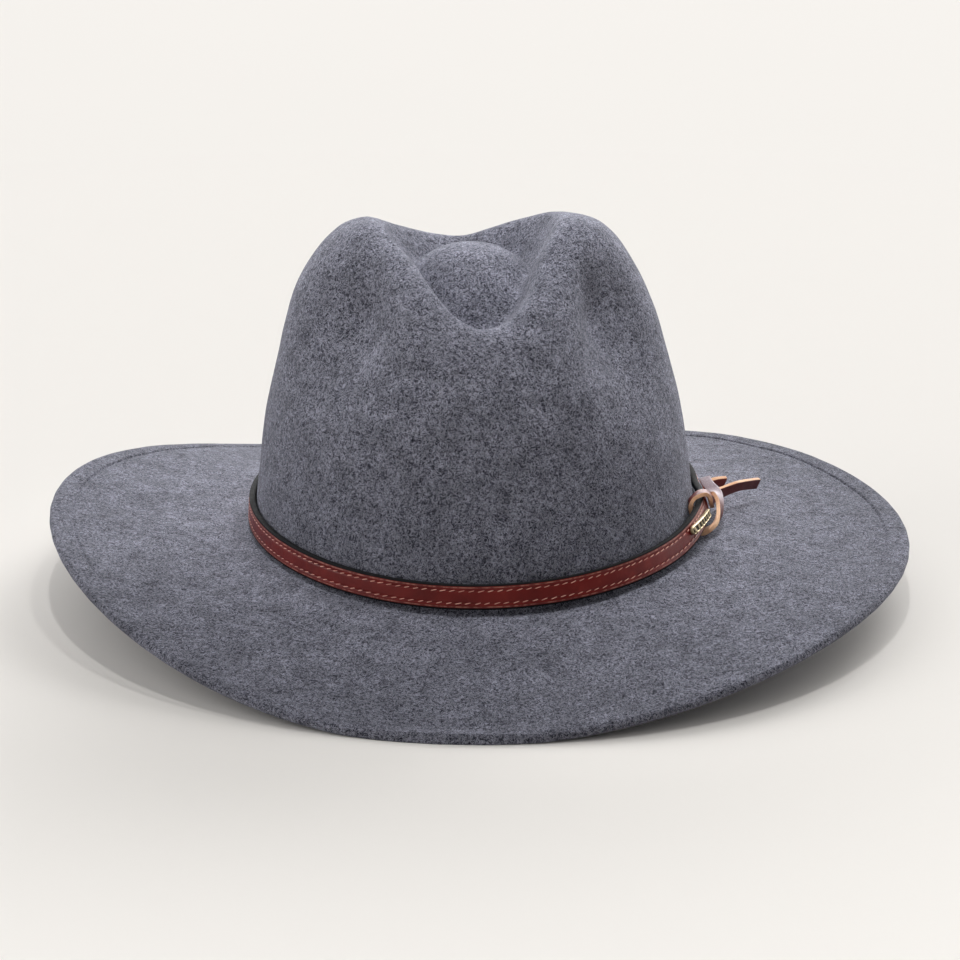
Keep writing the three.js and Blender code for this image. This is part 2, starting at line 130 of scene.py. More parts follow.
# the lace's route: along the band in tail lengths, layer outwards, rise in half band widths,
# and where the finished side looks: along, out, up
LACE = [
    (0.500, 1.78, 0.93, -1, 0.15, 0.2),
    (0.450, 1.85, 0.71, -1, 0.15, 0.2),
    (0.380, 2.12, 0.47, -1, 0.2, 0.2),
    (0.300, 2.55, 0.20, -1, 0.3, 0.2),
    (0.200, 2.90, -0.09, -0.9, 0.5, 0.1),
    (0.070, 2.78, -0.55, -0.6, 0.85, 0),
    (-0.050, 2.45, -0.92, -0.25, 1, -0.15),
    (-0.160, 1.95, -1.18, 0, 0.85, -0.5),
    (-0.260, 1.30, -1.40, 0, 0.45, -0.9),
    (-0.340, 0.30, -1.46, 0, 0, -1),
    (-0.385, -0.55, -1.38, 0, -0.55, -0.85),
    (-0.400, -1.15, -0.98, 0, -1, -0.2),
    (-0.400, -1.12, 0.00, 0, -1, 0),
    (-0.400, -1.12, 0.88, -0.05, -1, 0),
    (-0.375, -0.80, 1.36, -0.4, -0.8, 0.5),
    (-0.320, -0.05, 1.50, 0.05, -0.1, 1),
    (-0.240, 0.68, 1.43, 0.2, 0.4, 0.9),
    (-0.130, 1.22, 0.96, 0.1, 0.9, 0.5),
    (-0.010, 1.22, 0.30, 0, 1, 0.1),
    (0.100, 1.25, -0.30, 0, 1, 0),
    (0.210, 1.25, -0.56, 0, 1, 0),
    (0.340, 1.75, -0.58, -0.3, 1, -0.15),
    (0.480, 3.90, -0.64, -0.6, 0.7, -0.35),
    (0.660, 7.80, -1.02, -0.8, 0.4, -0.45),
    (0.870, 11.6, -2.05, -0.8, 0.4, -0.45),
]
SHORT_TAIL = [
    (0.660, 1.08, 0.00, -0.1, 1, -0.1),
    (0.680, 2.10, -0.09, -0.4, 0.6, -0.6),
    (0.720, 3.60, -0.26, -0.7, 0.3, -0.6),
    (0.770, 5.40, -0.60, -0.75, 0.35, -0.55),
]


def mix(a, b, share):
    return a + (b - a) * share


def unit(v):
    return v / np.maximum(np.linalg.norm(v, axis=-1, keepdims=True), 1e-12)


def through(before, a, b, after, place):
    """Smooth curve from a to b that also heeds the points before and after them."""
    square = place * place
    cube = square * place
    return 0.5 * (2 * a + (b - before) * place
                  + (2 * before - 5 * a + 4 * b - after) * square
                  + (3 * a - before - 3 * b + after) * cube)


def ridge_value(values, angle):
    values = np.array(values)
    place = (angle / (2 * math.pi)) % 1 * len(values)
    row = np.floor(place).astype(int)
    at = [values[(row + k) % len(values)] for k in (-1, 0, 1, 2)]
    return through(*at, place - row)


def head_oval(angle, grow):
    half = np.array([HEAD_WIDTH / 2 + WALL, HEAD_LENGTH / 2 + WALL])
    ring = np.stack([np.cos(angle), np.sin(angle)], -1)
    return half * ring + np.asarray(grow)[..., None] * unit(ring / half)


def break_at(angle):
    return BREAK_HEIGHT + BREAK_LIFT * np.cos(2 * angle) + BREAK_LEAN * np.cos(angle)


def edge_at(angle):
    share = EDGE_MEAN
    for waves, cosine, sine in EDGE_WAVES:
        share = share + cosine * np.cos(waves * angle) + sine * np.sin(waves * angle)
    return share * EDGE_RISE


def ridge_plan(angle):
    half = np.where(np.sin(angle) < 0, RIDGE_FRONT, RIDGE_BACK)
    return np.stack([RIDGE_HALF_WIDTH * np.cos(angle), RIDGE_SETBACK + half * np.sin(angle)], -1)


def turn_from(degrees, angle):
    return (np.degrees(angle) - degrees + 540) % 360 - 180


def pinch_at(angle, rise):
    depth = 0
    for middle, spread, height, reach, share in PINCHES:
        across = turn_from(middle, angle) / spread
        depth = depth + share * np.exp(-across ** 2 - ((rise - height) / reach) ** 2)
    return depth * PINCH_DEPTH


def squeeze_at(angle, distance):
    """How far the felt gives way beside the knot, so that the lace has room behind the band."""
    turn = turn_from(KNOT_ANGLE, angle)
    return LACE_PASSAGE * np.exp(-((turn / SQUEEZE_REACH) ** 4) - (distance / SQUEEZE_FADE) ** 2)


def passage_at(angle):
    """How far the band stands off for the lace behind it."""
    return LACE_PASSAGE * np.exp(-((turn_from(BEHIND_ANGLE, angle) / BEHIND_REACH) ** 4))


def lifted(plan, z):
    return np.concatenate([plan, np.broadcast_to(z, plan.shape[:1])[:, None]], 1)


def side_point(angle, rise, side, end, sway):
    spread = mix(side, end, np.sin(angle) ** 2)[:, None]
    plan = mix(ridge_plan(angle), head_oval(angle, 0), spread)
    inward = unit(np.array([0, RIDGE_SETBACK]) - plan)
    plan = plan + inward * (pinch_at(angle, rise) + squeeze_at(angle, rise * CROWN_RISE))[:, None]
    top = BREAK_HEIGHT + ridge_value(CREST, angle) * CROWN_RISE
    plan[:, 0] += CROWN_SWAY * sway
    return lifted(plan, mix(break_at(angle), top, rise))


def crease_point(angle, reach, height):
    plan = ridge_plan(angle) - np.array([0, RIDGE_SETBACK])
    plan = plan * reach
    length = np.maximum(np.linalg.norm(plan, axis=1, keepdims=True), 1)
    plan = plan * (1 - pinch_at(angle, 1)[:, None] * reach / length)
    plan = plan + np.array([CROWN_SWAY, RIDGE_SETBACK])
    return lifted(plan, BREAK_HEIGHT + height * CROWN_RISE)


def brim_width_at(angle):
    return mix(BRIM_SIDE_WIDTH, BRIM_END_WIDTH, np.sin(angle) ** 2)


def brim_point(angle, share):
    width = brim_width_at(angle) - WALL
    plan = head_oval(angle, WALL + (width - WALL) * share - squeeze_at(angle, share * width))
    sag = BRIM_DISH * math.sin(math.pi * share)
    return lifted(plan, mix(break_at(angle) - WALL, edge_at(angle), share ** BRIM_CURL) - sag)


def crown_foot(angle):
    plan = head_oval(angle, -squeeze_at(angle, BREAK_RADIUS))
    return lifted(plan, break_at(angle) + BREAK_RADIUS)


def spline(points, u):
    """Centripetal curve through four points, at u between the middle two."""
    knots = [0.0]
    for a, b in zip(points, points[1:]):
        knots.append(knots[-1] + np.sqrt(np.linalg.norm(b - a, axis=1, keepdims=True)) + 1e-6)
    t = mix(knots[1], knots[2], u)
    level, width = list(points), 1
    while len(level) > 1:
        spans = [(k, k + width) for k in range(len(level) - 1)]
        if width == 3:
            spans = [(1, 2)]
        if width == 2:
            spans = [(0, 2), (1, 3)]
        level = [
            ((knots[j] - t) * a + (t - knots[i]) * b) / (knots[j] - knots[i])
            for (i, j), a, b in zip(spans, level, level[1:])
        ]
        width += 1
    return level[0]


# Meshes
def new_object(name, vertices, faces, materials, indices=None):
    """A smooth-shaded object from points in millimetres."""
    mesh = bpy.data.meshes.new(name)
    points = [tuple(v) for v in np.asarray(vertices) * MM]
    mesh.from_pydata(points, [], [tuple(map(int, f)) for f in faces])
    for material in materials:
        mesh.materials.append(material)
    if indices is not None:
        mesh.polygons.foreach_set("material_index", np.asarray(indices, dtype=np.int32))
    mesh.polygons.foreach_set("use_smooth", [True] * len(mesh.polygons))
    mesh.update()
    obj = bpy.data.objects.new(name, mesh)
    bpy.context.scene.collection.objects.link(obj)
    return obj


def ring_faces(rows, around, start):
    """Quads between rows of a closed ring, each row with as many vertices."""
    k = np.arange(around)
    n = (k + 1) % around
    return np.concatenate([
        np.stack([start + r * around + k, start + (r + 1) * around + k,
                  start + (r + 1) * around + n, start + r * around + n], 1)
        for r in range(rows - 1)
    ])


def tube(rows, turned=False):
    """Vertices and faces of closed rings in a row, with a fan over each end.

    The faces look outward, and turned is for rings that run the other way round.
    """
    steps, count = rows.shape[:2]
    vertices = list(rows.reshape(-1, 3))
    faces = []
    for i in range(0, (steps - 1) * count, count):
        j = i + count
        for a in range(count):
            b = (a + 1) % count
            faces.append((i + a, j + a, j + b, i + b) if turned else (i + a, i + b, j + b, j + a))
    for ring, backwards in ((0, not turned), (steps - 1, turned)):
        start, middle = ring * count, len(vertices)
        vertices.append(rows[ring].mean(0))
        for a in range(count):
            b = (a + 1) % count
            fan = (start + b, start + a) if backwards else (start + a, start + b)
            faces.append((*fan, middle))
    return vertices, faces


# Materials
class Graph:
    """The nodes of a material or of the world."""

    def __init__(self, tree):
        self.tree = tree

    def add(self, kind, inputs=None, **settings):
        made = self.tree.nodes.new(kind)
        for key, value in settings.items():
            setattr(made, key, value)
        for key, value in (inputs or {}).items():
            self.put(made.inputs[key], value)
        return made

    def put(self, socket, value):
        if isinstance(value, bpy.types.NodeSocket):
            self.tree.links.new(value, socket)
        else:
            socket.default_value = value

    def math(self, operation, a, b=0.0):
        made = self.add("ShaderNodeMath", operation=operation)
        self.put(made.inputs[0], a)
        self.put(made.inputs[1], b)
        return made.outputs[0]


class Look(Graph):
    """A material, with patterns placed by the object's own metres."""

    def __init__(self, name):
        self.material = bpy.data.materials.new(name)
        self.material.use_nodes = True
        super().__init__(self.material.node_tree)
        self.shader = self.tree.nodes["Principled BSDF"]
        self.place = self.add("ShaderNodeTexCoord").outputs["Object"]

    def set(self, **values):
        for key, value in values.items():
            self.put(self.shader.inputs[key.replace("_", " ")], value)

    def noise(self, scale, detail=2.0, roughness=0.5, distortion=0.0, offset=None):
        place = self.place
        if offset is not None:
            inputs = {"Vector": place, "Location": offset}
            place = self.add("ShaderNodeMapping", inputs).outputs[0]
        inputs = {"Vector": place, "Scale": scale, "Detail": detail,
                  "Roughness": roughness, "Distortion": distortion}
        return self.add("ShaderNodeTexNoise", inputs).outputs["Fac"]

    def range(self, value, low, high, to_low=0.0, to_high=1.0):
        inputs = {"Value": value, "From Min": low, "From Max": high,
                  "To Min": to_low, "To Max": to_high}
        made = self.add("ShaderNodeMapRange", inputs, interpolation_type="SMOOTHSTEP")
        return made.outputs["Result"]

    def blend(self, share, a, b, kind="MIX"):
        made = self.add("ShaderNodeMix", data_type="RGBA", blend_type=kind)
        self.put(made.inputs["Factor"], share)
        self.put(made.inputs["A"], a)
        self.put(made.inputs["B"], b)
        return made.outputs["Result"]

    def line(self, value, width):
        """Thin lines where the value passes one half."""
        away = self.math("ABSOLUTE", self.math("SUBTRACT", value, 0.5))
        return self.range(away, 0.0, width, 1.0, 0.0)

    def bump(self, height, strength, distance):
        inputs = {"Height": height, "Strength": strength, "Distance": distance}
        self.put(self.shader.inputs["Normal"], self.add("ShaderNodeBump", inputs).outputs["Normal"])


def rgba(r, g, b):
    return (r, g, b, 1.0)


# Colours, each pair blended by a pattern
FELT_DEEP, FELT_GREY = rgba(0.060, 0.061, 0.083), rgba(0.246, 0.247, 0.314)
FIBRE_DARK = rgba(0.018, 0.019, 0.028)
FIBRE_PALE = rgba(0.59, 0.59, 0.71)
FIBRE_GREY = rgba(0.52, 0.53, 0.62)
FELT_SHEEN = rgba(0.80, 0.82, 0.92)
BAND_DEEP, BAND_RED = rgba(0.108, 0.007, 0.006), rgba(0.172, 0.013, 0.010)
BAND_STREAK = rgba(0.24, 0.024, 0.017)
PAINT_BLACK, PAINT_WORN = rgba(0.006, 0.006, 0.007), rgba(0.022, 0.016, 0.015)
# the crease line's colours: its red, and a pale painted highlight along the raised crease
CREASE_RED, CREASE_PAINTED_HIGHLIGHT = rgba(0.13, 0.016, 0.013), rgba(0.36, 0.13, 0.095)
THREAD_SOILED, THREAD_CLEAN = rgba(0.56, 0.21, 0.16), rgba(0.76, 0.38, 0.29)
LACE_DEEP, LACE_RED = rgba(0.085, 0.010, 0.009), rgba(0.140, 0.020, 0.017)
# painted reflection: pale colours for the lace's finished face near its start
PAINTED_SHEEN_DULL, PAINTED_SHEEN_PALE = rgba(0.36, 0.28, 0.31), rgba(0.50, 0.42, 0.46)
RAW_TAN, RAW_PALE = rgba(0.70, 0.36, 0.19), rgba(0.86, 0.55, 0.35)
RAW_FIBRE = rgba(0.52, 0.23, 0.11)
PATINA_DARK, PATINA_WORN = rgba(0.045, 0.034, 0.018), rgba(0.22, 0.17, 0.09)
BRASS_DULL, BRASS_BRIGHT = rgba(0.38, 0.30, 0.16), rgba(0.62, 0.52, 0.34)
FLOOR_FAR, FLOOR_FAR_PALE = rgba(0.835, 0.805, 0.766), rgba(0.841, 0.811, 0.772)
FLOOR_NEAR = rgba(0.945, 0.914, 0.872)
# metres from the hat's middle towards the back, between which the floor's colour changes
FLOOR_NEAR_Y, FLOOR_FAR_Y = -0.55, 0.1


def felt_material():
    g = Look("felt")
    pale = g.line(g.noise(430, detail=3.0, roughness=0.55, distortion=1.6), 0.05)
    grey = g.line(g.noise(620, distortion=1.2, offset=(0.31, 0.77, 0.13)), 0.05)
    dark = g.line(g.noise(480, 3.0, 0.55, distortion=1.4, offset=(0.91, 0.17, 0.53)), 0.06)
    grain = g.noise(900, detail=3.0, roughness=0.7)
    cloud = g.noise(95, detail=3.0, roughness=0.6, offset=(0.2, 0.4, 0.6))
    broad = g.noise(14, offset=(0.5, 0.1, 0.3))
    colour = g.blend(g.range(grain, 0.35, 0.65), FELT_DEEP, FELT_GREY)
    colour = g.blend(g.math("MULTIPLY", dark, 0.95), colour, FIBRE_DARK)
    colour = g.blend(g.math("MULTIPLY", pale, 0.85), colour, FIBRE_PALE)
    colour = g.blend(g.math("MULTIPLY", grey, 0.65), colour, FIBRE_GREY)
    clouded = g.range(cloud, 0.3, 0.7, 0.46, 0.65)
    shade = g.math("MULTIPLY", clouded, g.range(broad, 0.3, 0.7, 0.95, 1.05))
    tone = g.add("ShaderNodeCombineColor", {"Red": shade, "Green": shade, "Blue": shade}).outputs[0]
    g.set(Base_Color=g.blend(1.0, colour, tone, "MULTIPLY"))
    g.set(Roughness=0.97, Specular_IOR_Level=0.08)
    g.set(Sheen_Weight=0.10, Sheen_Roughness=0.5, Sheen_Tint=FELT_SHEEN)
    height = g.math("ADD", g.math("MULTIPLY", pale, 0.6), g.math("MULTIPLY", grain, 0.8))
    height = g.math("SUBTRACT", height, g.math("MULTIPLY", dark, 0.5))
    g.bump(height, strength=0.55, distance=0.00025)
    return g.material


def leather_material():
    g = Look("band_leather")
    pores = g.noise(1500, detail=3.0, roughness=0.6)
    cloud = g.noise(60, detail=3.0, roughness=0.6)
    streak = g.noise(160, detail=3.0, roughness=0.6, offset=(0.3, 0.2, 0.1))
    colour = g.blend(g.range(cloud, 0.3, 0.7), BAND_DEEP, BAND_RED)
    colour = g.blend(g.range(streak, 0.5, 0.75, 0.0, 0.5), colour, BAND_STREAK)
    g.set(Base_Color=colour, Roughness=g.range(pores, 0.3, 0.7, 0.34, 0.52))
    g.set(Specular_IOR_Level=0.24, Coat_Weight=0.04, Coat_Roughness=0.25)
    g.bump(pores, strength=0.35, distance=0.00015)
    return g.material


def edge_material():
    g = Look("band_edge_paint")
    wear = g.noise(700, detail=3.0, roughness=0.6)
    colour = g.blend(g.range(wear, 0.55, 0.75), PAINT_BLACK, PAINT_WORN)
    g.set(Base_Color=colour, Roughness=g.range(wear, 0.3, 0.7, 0.7, 0.85), Specular_IOR_Level=0.12)
    g.bump(wear, strength=0.3, distance=0.0001)
    return g.material


def crease_material():
    g = Look("band_crease")
    wear = g.noise(420, detail=3.0, roughness=0.6)
    # painted highlight: the crease line turns pale in patches
    colour = g.blend(g.range(wear, 0.4, 0.62), CREASE_RED, CREASE_PAINTED_HIGHLIGHT)
    g.set(Base_Color=colour, Roughness=0.5, Specular_IOR_Level=0.4)
    return g.material


def thread_material():
    g = Look("stitch_thread")
    twist = g.noise(2600)
    soil = g.noise(220)
    colour = g.blend(g.range(soil, 0.3, 0.7), THREAD_SOILED, THREAD_CLEAN)
    g.set(Base_Color=colour, Roughness=0.75, Sheen_Weight=0.2)
    g.bump(twist, strength=0.5, distance=0.0001)
    return g.material


def finished_lace_material():
    g = Look("lace_finished")
    pores = g.noise(1700, detail=3.0, roughness=0.6)
    cloud = g.noise(120, detail=3.0, roughness=0.6)
    colour = g.blend(g.range(cloud, 0.3, 0.7), LACE_DEEP, LACE_RED)
    # painted reflection: the finished face turns pale near the lace's start, by an attribute that the
    # strip sets
    painted_sheen = g.add("ShaderNodeAttribute", attribute_name="painted_sheen").outputs["Fac"]
    sheen_colour = g.blend(g.range(pores, 0.3, 0.7), PAINTED_SHEEN_DULL, PAINTED_SHEEN_PALE)
    colour = g.blend(g.math("MULTIPLY", painted_sheen, 0.92), colour, sheen_colour)
    g.set(Base_Color=colour, Roughness=g.range(pores, 0.3, 0.7, 0.46, 0.60))
    g.set(Specular_IOR_Level=0.45)
    g.bump(pores, strength=0.3, distance=0.0001)
    return g.material


def raw_lace_material():
    g = Look("lace_raw")
    fibres = g.noise(1300, detail=4.0, roughness=0.65, distortion=1.0)
    cloud = g.noise(140, detail=3.0, roughness=0.6)
    colour = g.blend(g.range(cloud, 0.3, 0.7), RAW_TAN, RAW_PALE)
    colour = g.blend(g.range(fibres, 0.5, 0.7, 0.0, 0.40), colour, RAW_FIBRE)
    g.set(Base_Color=colour, Roughness=0.8, Sheen_Weight=0.15)
    g.bump(fibres, strength=0.5, distance=0.0002)
    return g.material


def patina_material():
    g = Look("brass_patina")
    wear = g.noise(900, detail=3.0, roughness=0.6)
    colour = g.blend(g.range(wear, 0.45, 0.7), PATINA_DARK, PATINA_WORN)
    g.set(Base_Color=colour, Metallic=0.5, Roughness=0.6)
    return g.material


def brass_material():
    g = Look("aged_brass")
    wear = g.noise(500, detail=3.0, roughness=0.6)
    pits = g.noise(2200)
    colour = g.blend(g.range(wear, 0.3, 0.7), BRASS_DULL, BRASS_BRIGHT)
    g.set(Base_Color=colour, Metallic=1.0, Roughness=g.range(wear, 0.3, 0.7, 0.30, 0.48))
    g.bump(pits, strength=0.25, distance=0.0001)
    return g.material


def floor_material():
    g = Look("floor")
    far = g.blend(g.noise(6), FLOOR_FAR, FLOOR_FAR_PALE)
    depth = g.add("ShaderNodeSeparateXYZ", {"Vector": g.place}).outputs["Y"]
    g.set(Base_Color=g.blend(g.range(depth, FLOOR_NEAR_Y, FLOOR_FAR_Y, 1.0, 0.0), far, FLOOR_NEAR))
    g.set(Roughness=0.9, Specular_IOR_Level=0.1)
    return g.material


# Felt
AROUND = 384
# rows from one station of the crown to the next, from the island's middle to the brim
CROWN_SEGMENTS = [5, 4, 4, 5, 5, 5, 5, 4, 4, 4, 5, 6, 6, 6, 5, 4, 4, 4, 4]
# shares of the brim's width: where its own rows start, and a point that guides the curve there
BRIM_START = 0.06
BRIM_GUIDE = 0.13
# the groove pressed along the edge. It shows fully at the back, and fades out where it is
# GROOVE_SPAN degrees round from there
GROOVE_INSET = 7.0
GROOVE_WIDTH = 0.55
GROOVE_DEPTH = 0.55
GROOVE_SPAN = 115
GROOVE_FADE = 1400
GROOVE_LEAST = 0.06
# rows of the brim up to the groove, across it and on to the edge, and the shares that it takes up
BRIM_ROWS = (33, 20, 6)
GROOVE_BEFORE = 0.045
GROOVE_AFTER = 0.035
# the felt is a little thicker outside the groove, and the underside shows part of both
RIM_PUFF = 0.35
RIM_STEEPNESS = 1.15
RIM_ROUNDING = 0.7
UNDER_SHARE = 0.6
# size and height of the hand-shaped felt's slight swells. They begin beside the island's
# middle and keep clear of the band and the lace
SWELLS = [(26, 0.55), (9, 0.16)]
SWELL_START = 12
BAND_MIDDLE = 6
BAND_KEEP_OUT = 9
# the rounded edge: degrees up and down, steps and the unevenness of cut felt
EDGE_TILT = 75
EDGE_STEPS = 9
EDGE_FUZZ = 0.04
EDGE_FUZZ_WAVES = 61
# the underside has one row for each three of the upper side
UNDER_STEP = 3


def crown_rows(angle):
    """Rows of points round the crown's middle surface, from the island to the brim's start."""
    crest, floor = ridge_value(CREST, angle), ridge_value(FLOOR, angle)
    stations = [np.broadcast_to(APEX, (AROUND, 3))]
    stations += [crease_point(angle, r, mix(floor, ISLAND_TOP, lift)) for r, lift in ISLAND]
    stations += [crease_point(angle, r, mix(crest, floor, sink)) for r, sink in CREASE_WALL]
    stations.append(crease_point(angle, 1, crest))
    stations += [side_point(angle, *row) for row in CROWN_SIDE]
    stations.append(crown_foot(angle))
    turn = (BREAK_RADIUS + WALL) * (1 - math.sqrt(0.5))
    corner = head_oval(angle, turn - squeeze_at(angle, BREAK_RADIUS))
    stations.append(lifted(corner, break_at(angle) - WALL + turn))
    stations += [brim_point(angle, share) for share in (BRIM_START, BRIM_GUIDE)]
    beyond_apex = np.roll(stations[1], AROUND // 2, axis=0)
    line = [beyond_apex] + stations
    return [
        spline(line[k:k + 4], piece / pieces)
        for k, pieces in enumerate(CROWN_SEGMENTS)
        for piece in range(1, pieces + 1)
    ]


def brim_shares():
    """Shares of the brim's width at its rows, closest together over the groove."""
    groove = 1 - GROOVE_INSET / (BRIM_SIDE_WIDTH - WALL)
    stops = [BRIM_START, groove - GROOVE_BEFORE, groove + GROOVE_AFTER, 1]
    shares = []
    for first, last, rows in zip(stops, stops[1:], BRIM_ROWS):
        shares += list(np.linspace(first, last, rows + 1)[1:])
    return shares


def swell_at(point):
    return sum(height * noise.noise(Vector(point) / size) for size, height in SWELLS)


def felt_relief(mid, angle, shares):
    """How far the felt swells, puffs up at the rim and dips at the groove, at each point."""
    inset = (1 - shares)[:, None] * (brim_width_at(angle) - WALL)[None, :]
    on_brim = (shares > 0.5)[:, None]
    fading = np.exp((turn_from(90, angle) ** 2 - GROOVE_SPAN ** 2) / GROOVE_FADE)
    shown = GROOVE_LEAST + (1 - GROOVE_LEAST) / (1 + fading)
    dent = on_brim * shown * GROOVE_DEPTH * np.exp(-((inset - GROOVE_INSET) / GROOVE_WIDTH) ** 2)
    rim = on_brim * np.clip((GROOVE_INSET - inset) / GROOVE_INSET, 0, 1)
    puff = RIM_PUFF * np.sin(np.clip(rim * RIM_STEEPNESS, 0, 1) * math.pi / 2) ** RIM_ROUNDING
    swell = np.array([[swell_at(point) for point in row] for row in mid])
    swell *= np.clip(np.linalg.norm(mid[:, :, :2] - APEX[:2], axis=2) / SWELL_START, 0, 1)
    above_band = mid[:, :, 2] - break_at(angle) - BAND_MIDDLE
    near_band = np.exp(-((above_band / BAND_KEEP_OUT) ** 2)) * (shares == 0)[:, None]
    swell *= 1 - np.clip(near_band, 0, 1)
    return swell, puff, dent


def felt_edge(mid, normal, angle):
    """The brim's rounded edge, from the upper side to the underside."""
    out = unit(mid[-1] - mid[-2])
    thick = WALL + RIM_PUFF
    rows = []
    for tilt in np.linspace(EDGE_TILT, -EDGE_TILT, EDGE_STEPS):
        rise, reach = math.sin(math.radians(tilt)), math.cos(math.radians(tilt))
        fuzz = 1 + EDGE_FUZZ * np.sin(angle * EDGE_FUZZ_WAVES + tilt)
        rows.append(mid[-1] + normal[-1] * (thick * rise) + out * (thick * reach * fuzz)[:, None])
    return np.stack(rows)


def felt_mesh(material):
    angle = np.arange(AROUND) / AROUND * 2 * math.pi
    crown, on_brim = crown_rows(angle), brim_shares()
    mid = np.stack(crown + [brim_point(angle, share) for share in on_brim])
    inner = np.concatenate([np.broadcast_to(APEX, (1, AROUND, 3)), mid[:-1]])
    outer = np.concatenate([mid[1:], mid[-1:]])
    around = np.roll(mid, -1, axis=1) - np.roll(mid, 1, axis=1)
    normal = unit(np.cross(outer - inner, around))
    swell, puff, dent = felt_relief(mid, angle, np.array([0.0] * len(crown) + on_brim))
    top = mid + normal * (WALL + swell + puff - dent)[..., None]
    under = mid - normal * (WALL - swell + puff * UNDER_SHARE - dent * UNDER_SHARE)[..., None]
    top[:, :, 2] += np.maximum(-under[:, :, 2], 0)
    every = np.concatenate([top, felt_edge(mid, normal, angle), under[::-UNDER_STEP]])
    every[:, :, 2] = np.maximum(every[:, :, 2], 0)
    wall = (0, 0, WALL)
    vertices = np.concatenate([[APEX + wall], every.reshape(-1, 3), [APEX - wall]])
    faces = [tuple(f) for f in ring_faces(len(every), AROUND, 1)]
    faces += [(0, 1 + a, 1 + (a + 1) % AROUND) for a in range(AROUND)]
    end, tail = len(vertices) - 1, 1 + (len(every) - 1) * AROUND
    faces += [(tail + a, end, tail + (a + 1) % AROUND) for a in range(AROUND)]
    return new_object("felt_surface", vertices, faces, [material])


# Band
BAND_STEPS = 720
BAND_FACE_POINTS = 41
BAND_CORNER = 0.45
BAND_CORNER_OUT = 0.40
BAND_BACK_CORNER = 0.3
# the face lies a little inside the solid's, and is raised in the middle
FACE_INSET = 0.05
FACE_CROWN = 0.10
# insets from the band's two edges, and the relief along them
STITCH_INSET = 2.3
CHANNEL_DEPTH = 0.20
CHANNEL_WIDTH = 0.30
CREASE_INSET = 1.15
CREASE_HEIGHT = 0.06
CREASE_WIDTH = 0.16
CREASE_COLOUR_HALF = 0.11
# how far the face is dark from each edge: along the top the edge paint wrapping onto the face, along
# the bottom edge paint together with a painted shade of the gap above the brim
EDGE_PAINT_AND_SHADE = 0.6
# the band's three materials, in the order of its slots
BAND_LEATHER, BAND_PAINT, BAND_CREASE = 0, 1, 2
STITCH_PITCH = 3.35
STITCH_LENGTH = 2.5
STITCH_RADIUS = 0.17
STITCH_FLATNESS = 0.9
STITCH_SLANT = 9
STITCH_SINK = 0.10
STITCH_HUMP = 0.10
STITCH_ROUNDING = 3.2


def band_frame(degrees):
    """The band's middle, the way that its face looks and the way up, at each angle."""
    angle = np.radians(np.atleast_1d(np.asarray(degrees, dtype=float)))
    foot = crown_foot(angle)
    up = unit(side_point(angle, *CROWN_SIDE[-1]) - foot)
    step = math.radians(1)
    around = crown_foot(angle + step) - crown_foot(angle - step)
    face = unit(np.cross(around, up))
    passage = passage_at(angle)
    lift = BAND_REST - BREAK_RADIUS + KNOT_LIFT * passage / LACE_PASSAGE
    centre = foot + up * (lift + BAND_WIDTH / 2)[:, None]
    centre = centre + face * (WALL + BAND_STAND_OFF + passage + BAND_THICKNESS / 2)[:, None]
    return centre, face, up


def band_section():
    """Out and rise of the band's section, and what each side is made of."""
    half, tall = BAND_THICKNESS / 2, BAND_WIDTH / 2
    inner, high, back = half - BAND_CORNER, tall - BAND_CORNER, BAND_BACK_CORNER
    points, kinds = [], []

    def put(out, rise, kind):
        points.append((out, rise))
        kinds.append(kind)

    def corner(side, turns):
        for turn in turns:
            t = math.radians(turn)
            out, rise = inner + BAND_CORNER_OUT * math.cos(t), side * high + BAND_CORNER * math.sin(t)
            put(out, rise, BAND_PAINT if abs(turn) > 45 else BAND_LEATHER)

    for rise in np.linspace(-high, high, BAND_FACE_POINTS):
        channel = abs(abs(rise) - (tall - STITCH_INSET))
        crease = abs(abs(rise) - (tall - CREASE_INSET))
        crown = FACE_CROWN * (1 - (rise / tall) ** 2)
        # dark strips along both edges of the face: edge paint, and along the bottom also painted
        # shade
        kind = BAND_PAINT if abs(rise) > tall - EDGE_PAINT_AND_SHADE else BAND_LEATHER
        # the crease line has its own material, which holds a painted highlight
        if crease < CREASE_COLOUR_HALF:
            kind = BAND_CREASE
        out = half - FACE_INSET + crown - CHANNEL_DEPTH * math.exp(-(channel / CHANNEL_WIDTH) ** 2)
        put(out + CREASE_HEIGHT * math.exp(-(crease / CREASE_WIDTH) ** 2), rise, kind)
    corner(1, (30, 60))
    for out, rise in [
        (inner, tall), (0, tall), (-half + back, tall), (-half, tall - back),
        (-half, -tall + back), (-half + back, -tall), (0, -tall), (inner, -tall),
    ]:
        put(out, rise, BAND_PAINT)
    corner(-1, (-60, -30))
    return points, kinds


def band_mesh(leather, edge, crease):
    points, kinds = band_section()
    centre, face, up = band_frame(np.arange(BAND_STEPS) / BAND_STEPS * 360)
    section = np.array(points)
    rows = (centre[:, None, :] + face[:, None, :] * section[None, :, :1]
            + up[:, None, :] * section[None, :, 1:])
    count = len(points)
    k = np.arange(count)
    n = (k + 1) % count
    faces, indices = [], []
    for step in range(BAND_STEPS):
        a, b = step * count, (step + 1) % BAND_STEPS * count
        faces.append(np.stack([a + k, b + k, b + n, a + n], 1))
        indices += [max(kinds[i], kinds[j]) for i, j in zip(k, n)]
    materials = [leather, edge, crease]
    return new_object("band_strap", rows.reshape(-1, 3), np.concatenate(faces), materials, indices)


